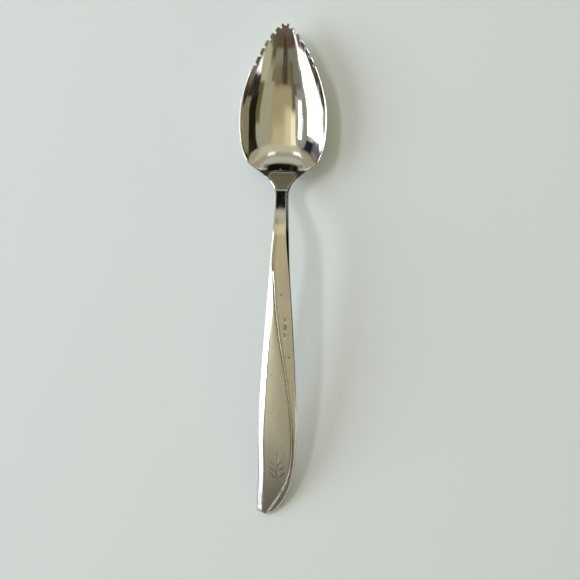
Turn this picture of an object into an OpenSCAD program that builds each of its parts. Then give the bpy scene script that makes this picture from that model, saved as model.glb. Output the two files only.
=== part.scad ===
// Grapefruit spoon: one stainless steel pressing, drawn as the bowl, the neck and the handle.
// +Y runs towards the serrated tip, +X is the spoon's right and +Z is up. The spoon lies on the
// table at Z = 0, with its hollow upwards and the middle of its length and width at the origin.
// Lengths are millimetres.

/* [Overall] */
// Length from the serrated tip to the end of the handle
spoon_l = 165; // [155:1:185]
// Height of the top face at the crest of the arched handle
crest_z = 18; // [14:0.5:24]
// Distance from the serrated tip back to that crest
crest_from_tip = 71.5; // [66:0.5:80]

/* [Bowl] */
// Length of the bowl, from its tip back to the root of the neck
bowl_l = 52.5; // [50:0.5:58]
// Width of the bowl at its widest
bowl_w = 29.4; // [26:0.2:34]
// Distance from the tip back to the widest place
widest_from_tip = 30.6; // [28:0.2:33]
// Distance from the root of the neck forward to the top of the heel wall
heel_inset = 2.5; // [1.5:0.1:4]
// How far behind the root the bowl's outline would close if no neck grew from it
closing_run = 3.2; // [2.6:0.1:4.5]
// Depth of the hollow below the rim
bowl_depth = 6.6; // [5:0.1:8]
// Thickness of the pressed wall at the bottom of the bowl
wall_t = 1.1; // [0.8:0.05:1.6]
// Width of the narrow land that runs round the rim
rim_land_w = 0.5; // [0.35:0.05:0.8]
// Height of the upright face of the rim's edge
rim_face = 0.7; // [0.4:0.05:1]
// Fall of the land towards the edge of the rim
rim_drop = 0.2; // [0.1:0.05:0.4]
// Rise of the rim at the tip above the rim at the widest place
tip_rise = 1; // [0:0.1:2]
// Depth of the small flat under the bowl, on which it rests
rest_cut = 0.15; // [0.1:0.05:0.3]

/* [Serration] */
// Number of bites on each side, apart from the one at the tip
bites_per_side = 6; // [4:1:7]
// Length of the serrated rim on each side, from the tip to the last bite
serrated_arc = 17.6; // [15:0.1:20]
// Radius of the round bite at the tip
bite_r = 0.52; // [0.44:0.02:0.6]
// Radius of the last bite on each side, which the bites narrow to
last_bite_r = 0.46; // [0.38:0.02:0.6]
// Depth of one bite into the rim
bite_depth = 1; // [0.7:0.05:1.15]

/* [Neck] */
// Width of the neck at its narrowest
neck_w = 4.5; // [4:0.1:6]
// Thickness of the neck
neck_t = 2.6; // [2:0.1:3.2]
// Length of the neck, from the root of the bowl to the start of the handle
neck_l = 25; // [22:0.5:28]
// Radius of the two shoulders that spread from the neck into the bowl
shoulder_r = 5.3; // [4.6:0.1:6.5]
// How far behind the root the shoulders start to spread
shoulder_run = 5; // [4.5:0.1:6]
// Length over which each shoulder's corner is rounded into the bowl's side
corner_round = 2; // [1:0.1:3]
// Width of the bevels along the neck
neck_bevel_w = 0.9; // [0.5:0.05:1.1]
// Fall of the neck's bevels
neck_bevel_drop = 0.6; // [0.3:0.05:0.9]
// Upright face of the neck's edges
neck_face = 0.8; // [0.5:0.05:1]

/* [Handle] */
// Width of the handle at its widest
handle_w = 13.1; // [11:0.1:16]
// Thickness of the handle along its middle
handle_t = 2; // [1.7:0.1:2.8]
// Width of the bevelled band along the left edge
band_w = 1.9; // [1.2:0.1:2.4]
// Fall of that band towards the left edge
band_drop = 0.85; // [0.4:0.05:0.9]
// Width of the small bevel along the right edge
trim_w = 0.35; // [0.2:0.05:0.6]
// How far the panel is sunk below the sweeping ridge
panel_sink = 0.35; // [0.2:0.05:0.5]
// Crown of the panel across its width
panel_crown = 0.18; // [0:0.02:0.3]
// Width of the sweeping ridge
ridge_w = 0.8; // [0.6:0.05:1.2]
// Height of the ridge above the strip beside it
ridge_h = 0.12; // [0.05:0.01:0.2]
// Fall of the strip between the ridge and the right edge
strip_fall = 0.45; // [0.2:0.05:0.6]
// Upright face of the handle's edges
handle_face = 0.7; // [0.4:0.05:0.9]
// Length over which the end of the handle is rounded off
end_round = 1.6; // [1:0.1:2.5]

/* [Hidden] */

tip_y = spoon_l / 2;
end_y = -spoon_l / 2;
wide_y = tip_y - widest_from_tip;
root_y = tip_y - bowl_l;
heel_y = root_y + heel_inset;
grip_y = root_y - neck_l;
crest_y = tip_y - crest_from_tip;
rim_z = bowl_depth + wall_t - rest_cut;

// Exponents of the bowl's outline: across, towards the tip, towards the heel, and that of its mouth
across_pow = 1.4;
tip_pow = 1.59;
heel_pow = 3.1;
mouth_heel_pow = 20;
// Exponents of the hollow: across it, along its floor to the tip and along its floor to the heel
hollow_pow = 2.4;
floor_tip_pow = 2.3;
floor_heel_pow = 2.8;
// Exponents of the underside's rounding and of the handle's fall from the crest to its end
back_pow = 4;
fall_pow = 2;
// Pitch of the bites grows away from the tip by this exponent
bite_pow = 1.15;

// How the neck rises from the rim to the crest: share of the way, then share of the height
rise_shares = [[0, 0], [0.2, 0.015], [0.33, 0.085], [0.42, 0.22], [0.54, 0.47], [0.67, 0.68],
    [0.79, 0.84], [0.9, 0.95], [1, 1]];
// How much wider the land is drawn across the slanting shoulders than square to their edge
slant_share = 1.5;

// Outlines along the handle: distance behind the neck's root as a share of the way to the end,
// then how far the side has spread, as a share of the way from the neck's width to the handle's
left_shares = [[0, 0], [0.09, 0], [0.26, 0.28], [0.42, 0.55], [0.6, 0.825], [0.76, 0.96],
    [0.84, 0.912], [0.89, 0.895], [0.94, 0.95], [1, 1]];
right_shares = [[0, 0], [0.09, 0.02], [0.26, 0.19], [0.42, 0.505], [0.6, 0.825], [0.73, 1],
    [0.8, 0.977], [0.86, 0.837], [0.92, 0.505], [0.96, 0.012], [1, -0.756]];
// The ridge, beside the same places: share of half the handle's width, positive to the right
ridge_shares = [[0, -0.34], [0.22, -0.44], [0.33, -0.285], [0.46, 0], [0.59, 0.4], [0.68, 0.62],
    [0.77, 0.75], [0.84, 0.72], [0.89, 0.565], [0.94, 0.2], [1, -0.45]];
// Where the very end of the handle lies, as a share of half its width
end_share = -0.55;
// The end's rounding stops just short of a point
end_close_share = 0.995;
// Where the ridge starts and where it has its full height, as shares of the same way
ridge_from_share = 0.23;
ridge_full_share = 0.38;

// Lengths of the dish on either side of the widest place, inside and outside
dish_w = bowl_w / 2 - rim_land_w;
dish_tip_l = widest_from_tip - rim_land_w;
dish_heel_l = wide_y - heel_y;
back_heel_l = dish_heel_l + wall_t;
blank_heel_l = wide_y - root_y + closing_run;

// Steps of the meshes: angle round the bowl, and stations along the neck and the handle
rim_step = 3;
root_angle = 159;
neck_stations = 24;
handle_stations = 56;
end_stations = 8;
ring_shares = [0.14, 0.28, 0.42, 0.55, 0.67, 0.78, 0.87, 0.94, 1];
back_ring_shares = [0.96, 0.88, 0.78, 0.66, 0.52, 0.36, 0.18];

function mix(a, b, k) = a + (b - a) * k;
function ramp(v, from, to) = let (k = min(1, max(0, (v - from) / (to - from)))) k * k * (3 - 2 * k);

// A smooth curve through a table of [place, value] pairs, by cubic spans
function slope_at(table, i) =
    let (a = table[max(0, i - 1)], b = table[min(len(table) - 1, i + 1)]) (b[1] - a[1]) / (b[0] - a[0]);
function span_at(table, v, i = 0) = i < len(table) - 2 && v > table[i + 1][0] ? span_at(table, v, i + 1) : i;
function curve(table, v) =
    let (
        i = span_at(table, v),
        a = table[i],
        b = table[i + 1],
        gap = b[0] - a[0],
        k = (v - a[0]) / gap,
        k2 = k * k,
        k3 = k2 * k
    )
    a[1] * (2 * k3 - 3 * k2 + 1) + b[1] * (3 * k2 - 2 * k3)
        + gap * (slope_at(table, i) * (k3 - 2 * k2 + k) + slope_at(table, i + 1) * (k3 - k2));

// Height of the top face along the centre line: level rim, rising neck, falling handle
function along_share(y) = (root_y - y) / (root_y - end_y);
rise_from_y = root_y + shoulder_run;
function rise_share(y) = curve(rise_shares, max(0, (rise_from_y - y) / (rise_from_y - crest_y)));
function top_z(y) =
    y >= wide_y ? rim_z + tip_rise * pow((y - wide_y) / widest_from_tip, 2)
    : y >= crest_y ? mix(rim_z, crest_z, rise_share(y))
    : mix(crest_z, handle_t, pow((crest_y - y) / (crest_y - end_y), fall_pow));

// Half width of a round-cornered outline that is 1 wide at c = 0 and closes at c = 1
function round_half(c, along_pow) = pow(max(0, 1 - pow(min(1, c), along_pow)), 1 / across_pow);

// Half width of the blank round the bowl, and of the spoon's two sides behind it
function shoulder_half(y) = neck_w / 2 + pow(max(0, y - (root_y - shoulder_run)), 2) / (2 * shoulder_r);
function closing_half(y) = bowl_w / 2 * round_half((wide_y - y) / blank_heel_l, heel_pow);
// The lesser of two widths, eased where they cross
function eased_min(a, b, over) = min(a, b) - pow(max(0, over - abs(a - b)), 2) / (4 * over);
function blank_half(y) =
    y >= wide_y ? bowl_w / 2 * round_half((y - wide_y) / widest_from_tip, tip_pow)
    : eased_min(shoulder_half(y), closing_half(y), corner_round);
function side_half(y, shares) =
    let (
        own = mix(neck_w, handle_w, curve(shares, along_share(y))) / 2,
        spread = shoulder_half(y) - neck_w / 2,
        into_end = max(0, (end_y + end_round - y) / end_round) * end_close_share,
        close = sqrt(1 - into_end * into_end)
    )
    own * close + spread;
function end_shift(y) =
    let (into_end = max(0, (end_y + end_round - y) / end_round) * end_close_share)
    handle_w / 2 * end_share * (1 - sqrt(1 - into_end * into_end));
function left_x(y) = end_shift(y) - side_half(y, left_shares);
function right_x(y) = end_shift(y) + side_half(y, right_shares);

// The hollow: half width of its mouth and depth of its floor
function land_in(y) = rim_land_w * mix(1, slant_share, neck_share(y));
function mouth_half(y) =
    y >= wide_y ? dish_w * round_half((y - wide_y) / dish_tip_l, tip_pow)
    : min(blank_half(y) - land_in(y), dish_w * round_half((wide_y - y) / dish_heel_l, mouth_heel_pow));
function floor_depth(y, heel_l) =
    bowl_depth * (y >= wide_y
        ? 1 - pow(min(1, (y - wide_y) / widest_from_tip), floor_tip_pow)
        : 1 - pow(min(1, (wide_y - y) / heel_l), floor_heel_pow));
function inside_z(x, y) =
    top_z(y) - floor_depth(y, dish_heel_l) * (1 - pow(abs(x) / mouth_half(y), hollow_pow));

// How far the section has changed from the bowl's wall (0) to the neck's bar (1)
function neck_share(y) = ramp(y, wide_y - (wide_y - root_y) / 3, root_y);
// Underside of the bowl and its root, from the foot of the rim's edge down to the bottom
function bowl_edge_drop(y) = mix(rim_drop, neck_bevel_drop, neck_share(y));
function bowl_edge_face(y) = mix(rim_face, neck_face, neck_share(y));
function back_z(x, y) =
    let (
        edge = bowl_edge_drop(y) + bowl_edge_face(y),
        body = mix(wall_t, neck_t, neck_share(y)) - edge + floor_depth(y, back_heel_l),
        across = min(1, abs(x) / blank_half(y))
    )
    max(0, top_z(y) - edge - body * (1 - pow(across, mix(hollow_pow, back_pow, neck_share(y)))));

// Points round the bowl, for an angle that is 0 at the tip and 180 at the neck
function mouth_point(angle) =
    let (c = cos(angle), y = wide_y + (c >= 0 ? dish_tip_l : dish_heel_l) * c)
    [mouth_half(y), y];
function blank_point(angle) =
    let (
        c = cos(angle),
        y = c >= 0 ? wide_y + widest_from_tip * c
            : max(root_y, wide_y + (wide_y - root_y) * c / -cos(root_angle)),
        x = angle <= root_angle ? blank_half(y)
            : blank_half(root_y) * (180 - angle) / (180 - root_angle)
    )
    [x, y];
function mirror_x(p) = [-p[0], p[1]];
// A closed ring of plan points: down the right side from the tip, and back up the left side
rim_angles = [for (a = [0:rim_step:180]) a];
function both_sides(half) =
    concat(half, [for (i = [len(half) - 2:-1:1]) mirror_x(half[i])]);
mouth_ring = both_sides([for (a = rim_angles) mouth_point(a)]);
blank_ring = both_sides([for (a = rim_angles) blank_point(a)]);
// The edge strip's inner line lies one bevel's width inside the edge
function strip_w(y) = mix(rim_land_w, neck_bevel_w, neck_share(y)) / 2;
land_ring = [for (i = [0:len(blank_ring) - 1])
    let (p = blank_ring[i], way = mouth_ring[i] - p) p + way * min(0.5, strip_w(p[1]) / norm(way))];

// Height of the blank's edge: on the cut at the root only its two bevels fall away
function edge_z(p) =
    let (half = blank_half(p[1]), bevel = neck_bevel_w)
    top_z(p[1]) - bowl_edge_drop(p[1])
        * (p[1] > root_y ? 1 : min(1, max(0, (abs(p[0]) - half + bevel) / bevel)));

centre = [0, wide_y];
function lift(p, z) = [p[0], p[1], z];
function inside_ring(k) = [for (q = mouth_ring)
    let (p = mix(centre, q, k)) lift(p, k < 1 ? inside_z(p[0], p[1]) : top_z(p[1]))];
function back_ring(k) = [for (q = blank_ring) let (p = mix(centre, q, k)) lift(p, back_z(p[0], p[1]))];

// Faces of a stack of closed rings of n points each, numbered from first
function ring_faces(rings, n, first) = [for (r = [0:rings - 2], i = [0:n - 1])
    let (a = first + r * n + i, b = first + r * n + (i + 1) % n, c = a + n, d = b + n)
    each [[a, b, d], [a, d, c]]];
function fan_faces(hub, first, n, outwards) = [for (i = [0:n - 1])
    let (a = first + i, b = first + (i + 1) % n) outwards ? [hub, a, b] : [hub, b, a]];

// The pressed bowl before the bites: hollow, land, edge and back as rings about one centre
module bowl_blank() {
    n = len(mouth_ring);
    rings = concat(
        [for (k = ring_shares) inside_ring(k)],
        [[for (p = land_ring) lift(p, top_z(p[1]))]],
        [[for (p = blank_ring) lift(p, edge_z(p))]],
        [[for (p = blank_ring) lift(p, back_z(p[0], p[1]))]],
        [for (k = back_ring_shares) back_ring(k)]
    );
    points = concat(
        [lift(centre, inside_z(0, wide_y))],
        [for (ring = rings) each ring],
        [lift(centre, back_z(0, wide_y))]
    );
    faces = concat(
        fan_faces(0, 1, n, true),
        [for (f = ring_faces(len(rings), n, 1)) [f[2], f[1], f[0]]],
        fan_faces(len(points) - 1, 1 + (len(rings) - 1) * n, n, false)
    );
    polyhedron(points = points, faces = faces, convexity = 6);
}

// Length along the rim from the tip, paired with the angle of the point reached
function rim_lengths(step, a = 0, run = 0) =
    a > 90 ? []
    : concat([[run, a]],
        rim_lengths(step, a + step, run + norm(blank_point(a + step) - blank_point(a))));
rim_table = rim_lengths(rim_step / 3);
// A bite's centre lies inside the rim, square to it, so that the bite has its stated depth
function bite_centre(length, r) =
    let (
        angle = lookup(length, rim_table),
        p = blank_point(angle),
        way = blank_point(angle + rim_step / 3) - blank_point(max(0, angle - rim_step / 3)),
        inwards = angle < rim_step / 3 ? [0, -1] : [way[1], -way[0]] / norm(way)
    )
    p + inwards * (bite_depth - r);
bite_lengths = [for (i = [0:bites_per_side]) serrated_arc * pow(i / bites_per_side, bite_pow)];
bite_tall = 2 * (rim_z + tip_rise);

// The serration: round bites through the rim, down both sides from one at the tip
module bites() {
    for (i = [0:bites_per_side], side = i > 0 ? [-1, 1] : [1]) {
        r = mix(bite_r, last_bite_r, i / bites_per_side);
        spot = bite_centre(bite_lengths[i], r);
        translate([side * spot[0], spot[1], 0]) cylinder(r = r, h = bite_tall, $fn = 32);
    }
}

module bowl() {
    color("silver") difference() {
        bowl_blank();
        bites();
    }
}

// Section of the neck and handle: widths and falls of its lines at a station
function ridge_share(y) = ramp(along_share(y), ridge_from_share, ridge_full_share);
function left_bevel_w(y) =
    mix(mix(neck_bevel_w, neck_bevel_w / 2, ramp(y, root_y, grip_y)), band_w, ridge_share(y));
function right_bevel_w(y) = mix(neck_bevel_w, trim_w, ridge_share(y));
function section_t(y) = mix(neck_t, handle_t, ramp(y, root_y, grip_y - neck_l));
function section_face(y) = mix(neck_face, handle_face, ridge_share(y));
panel_points = 5;
strip_points = 4;

// The lines across the section from left to right, kept in order where the handle narrows
function section_lines(y) =
    let (
        left = left_x(y),
        right = right_x(y),
        wide = right - left,
        band = left + min(left_bevel_w(y), wide / 4),
        trim = right - min(right_bevel_w(y), wide / 8),
        half_ridge = min(ridge_w / 2, wide / 12),
        crown = min(trim - 2 * half_ridge,
            max(handle_w / 2 * curve(ridge_shares, along_share(y)), band + 2 * half_ridge))
    )
    [left, band, crown - half_ridge, crown, crown + half_ridge, trim, right];

// Top points of a section, left to right: band, sunk panel, ridge, falling strip, trim
function section_top(y) =
    let (
        x = section_lines(y),
        face = top_z(y),
        k = ridge_share(y),
        sink = panel_sink * k,
        fall = strip_fall * k
    )
    concat(
        [[x[0], face - mix(neck_bevel_drop, sink + band_drop, k)]],
        [for (i = [0:panel_points - 1]) let (s = i / (panel_points - 1))
            [mix(x[1], x[2], s), face - sink + 4 * panel_crown * k * s * (1 - s)]],
        [[x[3], face + ridge_h * k]],
        [for (i = [0:strip_points - 1]) let (s = i / (strip_points - 1))
            [mix(x[4], x[5], s), face - fall * s * s]],
        [[x[6], face - mix(neck_bevel_drop, fall + trim_w, k)]]
    );

// Underside below the same places: upright edges, rounded into a flat back
function section_back_z(top, p, y) =
    let (
        first = top[0],
        last = top[len(top) - 1],
        middle = (first[0] + last[0]) / 2,
        across = min(1, abs(p[0] - middle) / ((last[0] - first[0]) / 2)),
        edge = (p[0] < middle ? first[1] : last[1]) - section_face(y)
    )
    mix(top_z(y) - section_t(y), edge, pow(across, back_pow));

// A closed ring: the top from left to right and the underside back again
function section_ring(y) =
    let (top = section_top(y))
    concat(
        [for (p = top) [p[0], y, p[1]]],
        [for (i = [len(top) - 1:-1:0]) [top[i][0], y, section_back_z(top, top[i], y)]]
    );
// One end of the bar, as a strip between its top and its underside
function cap_faces(first, n, facing) = [for (i = [0:n / 2 - 2])
    let (a = first + i, b = a + 1, c = first + n - 1 - i, d = c - 1)
    each facing ? [[a, b, d], [a, d, c]] : [[a, d, b], [a, c, d]]];
// A bar through sections at falling values of y
module bar(stations) {
    rings = [for (y = stations) section_ring(y)];
    n = len(rings[0]);
    polyhedron(
        points = [for (ring = rings) each ring],
        faces = concat(
            cap_faces(0, n, true),
            [for (f = ring_faces(len(rings), n, 0)) [f[0], f[2], f[1]]],
            cap_faces((len(rings) - 1) * n, n, false)
        ),
        convexity = 4
    );
}

module neck() {
    color("gainsboro") bar([for (i = [0:neck_stations]) mix(root_y, grip_y, i / neck_stations)]);
}

// Stations crowd together towards the rounded end
module handle() {
    round_y = end_y + end_round;
    color("lightgray") bar(concat(
        [for (i = [0:handle_stations]) mix(grip_y, round_y, i / handle_stations)],
        [for (i = [1:end_stations]) mix(round_y, end_y, sin(90 * i / end_stations))]
    ));
}

bowl();
neck();
handle();
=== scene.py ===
import math

import bpy
import numpy as np
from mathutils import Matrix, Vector


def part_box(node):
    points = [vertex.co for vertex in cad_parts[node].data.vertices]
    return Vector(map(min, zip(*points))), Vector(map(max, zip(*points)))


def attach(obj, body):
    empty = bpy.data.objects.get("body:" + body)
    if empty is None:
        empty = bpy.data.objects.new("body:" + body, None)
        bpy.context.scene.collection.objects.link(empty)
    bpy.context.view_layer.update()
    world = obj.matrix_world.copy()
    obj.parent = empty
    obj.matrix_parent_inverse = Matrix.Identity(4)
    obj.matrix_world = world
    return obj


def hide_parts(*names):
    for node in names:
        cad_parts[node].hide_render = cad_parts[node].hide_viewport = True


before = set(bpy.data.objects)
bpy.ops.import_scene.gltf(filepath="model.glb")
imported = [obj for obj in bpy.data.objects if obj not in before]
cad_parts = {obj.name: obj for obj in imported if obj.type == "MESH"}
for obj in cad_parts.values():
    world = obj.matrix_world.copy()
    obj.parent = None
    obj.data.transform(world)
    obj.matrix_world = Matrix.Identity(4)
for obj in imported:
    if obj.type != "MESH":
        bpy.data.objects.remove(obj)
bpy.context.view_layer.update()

MM = 0.001

# Places and main sizes, in millimetres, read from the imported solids
BOWL_LOW, BOWL_HIGH = (np.array(corner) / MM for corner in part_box("bowl"))
NECK_LOW, NECK_HIGH = (np.array(corner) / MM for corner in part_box("neck"))
GRIP_LOW, GRIP_HIGH = (np.array(corner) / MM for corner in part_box("handle"))
END_Y = GRIP_LOW[1]
TIP_Y = -END_Y
ROOT_Y = BOWL_LOW[1]
GRIP_Y = NECK_LOW[1]
BOWL_W = BOWL_HIGH[0] - BOWL_LOW[0]
CREST_Z = max(NECK_HIGH[2], GRIP_HIGH[2])

# The bowl, in millimetres. REST_CUT is how much of its belly is missing where the spoon rests.
BOWL_DEPTH = 6.6
WALL_T = 1.1
REST_CUT = 0.15
WIDEST_FROM_TIP = 30.6
HEEL_INSET = 2.5
CLOSING_RUN = 3.2
RIM_LAND_W = 0.42
# How many times wider the land is at the root
SLANT_SHARE = 1.5
RIM_FACE = 0.7
RIM_DROP = 0.12
TIP_RISE = 1.0
RIM_Z = BOWL_DEPTH + WALL_T - REST_CUT
WIDE_Y = TIP_Y - WIDEST_FROM_TIP
HEEL_Y = ROOT_Y + HEEL_INSET
# The angle, 0 at the tip, at which the blank's outline meets the cut at the root
ROOT_ANGLE = 159.0
# The least half width that is divided by, and how near the mouth its wall's slope is taken
LEAST_HALF = 0.001
NEAR_MOUTH = 0.985

# The serration
BITES_PER_SIDE = 6
SERRATED_ARC = 17.6
BITE_R = 0.52
LAST_BITE_R = 0.46
BITE_DEPTH = 1.0
BITE_POW = 1.15
# How far a tooth's corners are rounded back: small by the tip, wide by the shoulder
LOBE_NEAR_TIP = 0.28
LOBE_NEAR_SHOULDER = 0.58
LOBE_POW_NEAR_TIP = 5.0
LOBE_POW_NEAR_SHOULDER = 2.0
# The last bite eases into the plain rim over this many of its radii, by this power
LAST_EASE_RADII = 3
LAST_EASE_POW = 2.5
# The ring inside the bites eases into the hollow's mouth over this stretch past the last bite
INNER_EASE = (1, 6)

# The neck and its shoulders
NECK_W = 4.5
NECK_T = 2.6
SHOULDER_R = 5.3
SHOULDER_RUN = 5.0
CORNER_ROUND = 2.0
NECK_BEVEL_W = 1.0
LEFT_BEVEL_W = 0.28
NECK_BEVEL_DROP = 0.75
ROOT_BEVEL_DROP = 0.24
NECK_FACE = 0.8
# How far past the root the neck's right bevel widens, and where along -y it becomes the trim
BEVEL_WIDENS = (2.5, 5)
BEVEL_TO_TRIM = (-12, 6)
CREST_FROM_TIP = 71.5
CREST_Y = TIP_Y - CREST_FROM_TIP

# The handle
HANDLE_W = 13.1
HANDLE_T = 2.0
BAND_W = 1.9
BAND_DROP = 1.0
TRIM_W = 0.35
PANEL_SINK = 0.35
PANEL_CROWN = 0.18
RIDGE_W = 0.8
RIDGE_H = 0.12
STRIP_FALL = 0.45
HANDLE_FACE = 0.7
END_ROUND = 1.6
# The fine groove along the foot of the ridge
GROOVE_W = 0.2
GROOVE_D = 0.2

# Exponents of the curves
ACROSS_POW = 1.4
TIP_POW = 1.59
HEEL_POW = 3.1
MOUTH_HEEL_POW = 20.0
HOLLOW_POW = 2.4
FLOOR_TIP_POW = 2.3
FLOOR_HEEL_POW = 2.8
BACK_POW = 4.0
FALL_POW = 2.0

# Sides and ridge of the handle: share of the way from the root to the end, and share of the
# spread. RISE_SHARES gives the rise from rim to crest over the way there, both as shares.
LEFT_SHARES = ((0, 0), (0.09, 0), (0.26, 0.28), (0.42, 0.55), (0.6, 0.825), (0.76, 0.96),
               (0.84, 0.912), (0.89, 0.895), (0.94, 0.95), (1, 1))
RIGHT_SHARES = ((0, 0), (0.09, 0.02), (0.26, 0.19), (0.42, 0.505), (0.6, 0.825), (0.73, 1),
                (0.8, 0.977), (0.86, 0.837), (0.92, 0.505), (0.96, 0.012), (1, -0.756))
RIDGE_SHARES = ((0, -0.34), (0.22, -0.44), (0.33, -0.285), (0.46, 0), (0.59, 0.4), (0.68, 0.62),
                (0.77, 0.75), (0.84, 0.72), (0.89, 0.565), (0.94, 0.2), (1, -0.45))
RISE_SHARES = ((0, 0), (0.2, 0.015), (0.33, 0.085), (0.42, 0.228), (0.54, 0.46), (0.67, 0.68),
               (0.79, 0.84), (0.9, 0.955), (0.97, 0.995), (1, 1))
END_SHARE = -0.55
END_CLOSE_SHARE = 0.995
RIDGE_FROM_SHARE = 0.23
RIDGE_FULL_SHARE = 0.38
BAND_FROM_SHARE = 0.22
BAND_FULL_SHARE = 0.36

# Softness of worked edges, in millimetres
CREASE = 0.07
MOUTH_CREASE = 0.12
EDGE_R = 0.16
SEAM_R = 0.03
SEAM_RUN = 2.0

# Fineness of the bowl's mesh: points in each bite, tooth and plain side, samples of the outlines,
# and the rings from the middle to the mouth, over the land, and the same way back underneath
BITE_POINTS = 24
TOOTH_POINTS = 15
PLAIN_POINTS = 150
OUTLINE_SAMPLES = 4000
MOUTH_SAMPLES = 3001
WALL_SHARES = np.r_[np.linspace(0, 0.88, 32), 0.91, 0.935, 0.955, 0.97, 0.98, 0.99]
LAND_SHARES = np.linspace(0, 1, 11)
BACK_LAND_SHARES = (0, 0.15, 0.4, 0.7)
BACK_SHARES = np.r_[1, 0.98, 0.95, 0.92, 0.88, np.linspace(0.84, 0, 20)]
# Fineness of the bar's mesh: columns between its lines, rows round an edge, every how many columns
# the handle's back keeps, numbers of sections, and steps between them, finer over the cuts
GAP_SAMPLES = (14, 80, 8, 8, 22, 6)
EDGE_ROWS = 5
BACK_STEP = 3
NECK_SECTIONS = 80
END_SECTIONS = 17
SECTION_STEP = 0.36
FINE_STEP = 0.12

# The land left inside a bite, over how far from the tip the bites turn from straight down to
# square to the outline, and how much the teeth at the very tip are worn back
LAND_LEAST = 0.15
TIP_EASE = 2.5
TIP_WORN = 0.45

# The two engraved cuts: places, half lengths of the finer sections, samples along each stroke
SPRIG_AT = (-0.1, -66.9)
SPRIG_HALF = 6
ROW_AT = (1.8, -19.3)
ROW_HALF = 4
STROKE_SAMPLES = 25
# Worn pits: place and radius
PITS = ((0.5, -8.6, 0.3), (3.4, -29.0, 0.32))
PIT_DEPTH = 0.12

# What the meshes tell the materials, each 0 to 1 at every point. The third is painted shade, which
# darkens the steel's colour where it shows dark reflections and shade
MASKS = ("satin", "worn", "painted_shade")
# Satin: the stretch of -y where it begins, its strength on the neck, at the panel's end and on
# the strip, the stretch of y where the panel's end comes up to full, the softness of its borders,
# and the depth at which a cut shows bright metal
SATIN_BEGINS = (-23, -13)
NECK_SATIN = 0.6
# less satin at the panel's end leaves more bare metal, which darkens it there: painted shade
PANEL_END_SATIN_AND_SHADE = 0.78
PANEL_END = (-66, -20)
STRIP_SATIN = 0.6
BAND_BORDER = 0.25
SATIN_BORDER = 0.2
BRIGHT_CUT = 0.05
# Painted shade: strengths at the grip's end, beside the ridge and on the right bevel, with the
# stretches of -y and y where the first and the last come in, and the bevel's soft border. It darkens
# the end where the handle curves down, the panel towards the ridge and the right bevel
SHADE_BORDER = 0.1
END_SHADE = 0.95
END_SHADES = (45, 84)
RIDGE_SIDE_SHADE = 0.28
BEVEL_SHADE = 0.8
BEVEL_SHADES = (-60, -25)
# Painted shade of the flat root, for the dark reflection there: from past ROOT_Y to past HEEL_Y,
# inside the shoulders by a margin, with a paler tongue whose strengths are those of its face and of
# its edge, which is paler still as a painted highlight
ROOT_SHADES = (-4.1, -2.8)
HEEL_CLEARS = (0.3, 1.0)
SHOULDER_MARGIN = 0.5
SHOULDER_BORDER = 0.4
TONGUE_MARGIN = 0.7
TONGUE_HALF = 3.0
TONGUE_R = 1.5
TONGUE_Y = HEEL_Y - 1.4
TONGUE_SHADE = 0.8
TONGUE_EDGE_SHADE = 0.6
TONGUE_EDGE = (0.3, 0.5)

# Colours of the materials, strengths of their effects, and the plain backdrop past the table
STEEL_COLOUR = (0.74, 0.72, 0.68)
# the satin's cream colour is partly its own tone and partly painted sheen, the warm light it
# reflects
SATIN_SHEEN_COLOUR = (0.95, 0.885, 0.69)
CLOUD_TINT = (0.92, 0.90, 0.86)
CLOUD_STRENGTH = 0.5
CLOUD_SCALE = 90.0
# dark tint that the painted shade multiplies the steel's colour by
PAINTED_SHADE_TINT = (0.055, 0.075, 0.1)
PIT_COLOUR = (0.09, 0.05, 0.03)
ROUGHNESS_CHANGE = 0.06
# Fine scratches: turn and scale of each layer of noise, and how it is drawn out along the spoon
SCRATCH_LAYERS = ((0.35, 900.0), (-0.2, 1400.0))
SCRATCH_STRETCH = (1.0, 0.08, 0.3)
TABLE_COLOUR = (0.85, 0.915, 0.98)
BACKDROP = (0.60, 0.64, 0.61)

# Half the table's side in metres. The camera's place in millimetres, its turn in degrees and lens.
TABLE_HALF = 8.0
CAMERA_AT = (3.3, -6.79, 430)
CAMERA_TURN = 1.14
SENSOR, LENS = 36.0, 78.53
# Lamps: name, place, what they face and size in metres, power in watts, colour
LAMPS = (
    ("Window", (-2.2, -0.12, 1.0), (0, 0, 0), (1.9, 1.15), 29.0, (0.94, 0.98, 1.0)),
    ("High window", (-0.52, 0.27, 0.81), (0, 0.27, 0), (0.42, 0.10), 1.8, (0.97, 0.99, 1.0)),
)


def mix(a, b, k):
    return a + (b - a) * k


def ramp(v, low, high):
    """0 below low, 1 above high, with the cubic 3k^2 - 2k^3 between."""
    k = np.clip((v - low) / (high - low), 0, 1)
    return k * k * (3 - 2 * k)


def rise(v, soft):
    """v where positive and 0 where negative, eased by a hyperbola of the given softness."""
    return 0.5 * (v + np.sqrt(v * v + soft * soft))


def curve(table, v):
    """Cubic spans through [place, value] pairs, each end's slope taken from its two neighbours."""
    t = np.array(table, float)
    v = np.asarray(v, float)
    before = t[np.r_[0, 0:len(t) - 1]]
    after = t[np.r_[1:len(t), len(t) - 1]]
    slope = (after[:, 1] - before[:, 1]) / (after[:, 0] - before[:, 0])
    i = np.clip(np.searchsorted(t[:, 0], v, side="left") - 1, 0, len(t) - 2)
    gap = t[i + 1, 0] - t[i, 0]
    k = (v - t[i, 0]) / gap
    start = t[i, 1] * (2 * k**3 - 3 * k**2 + 1) + gap * slope[i] * (k**3 - 2 * k**2 + k)
    return start + t[i + 1, 1] * (3 * k**2 - 2 * k**3) + gap * slope[i + 1] * (k**3 - k**2)


def along_share(y):
    """0 at the neck's root and 1 at the end of the handle."""
    return (ROOT_Y - y) / (ROOT_Y - END_Y)


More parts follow.
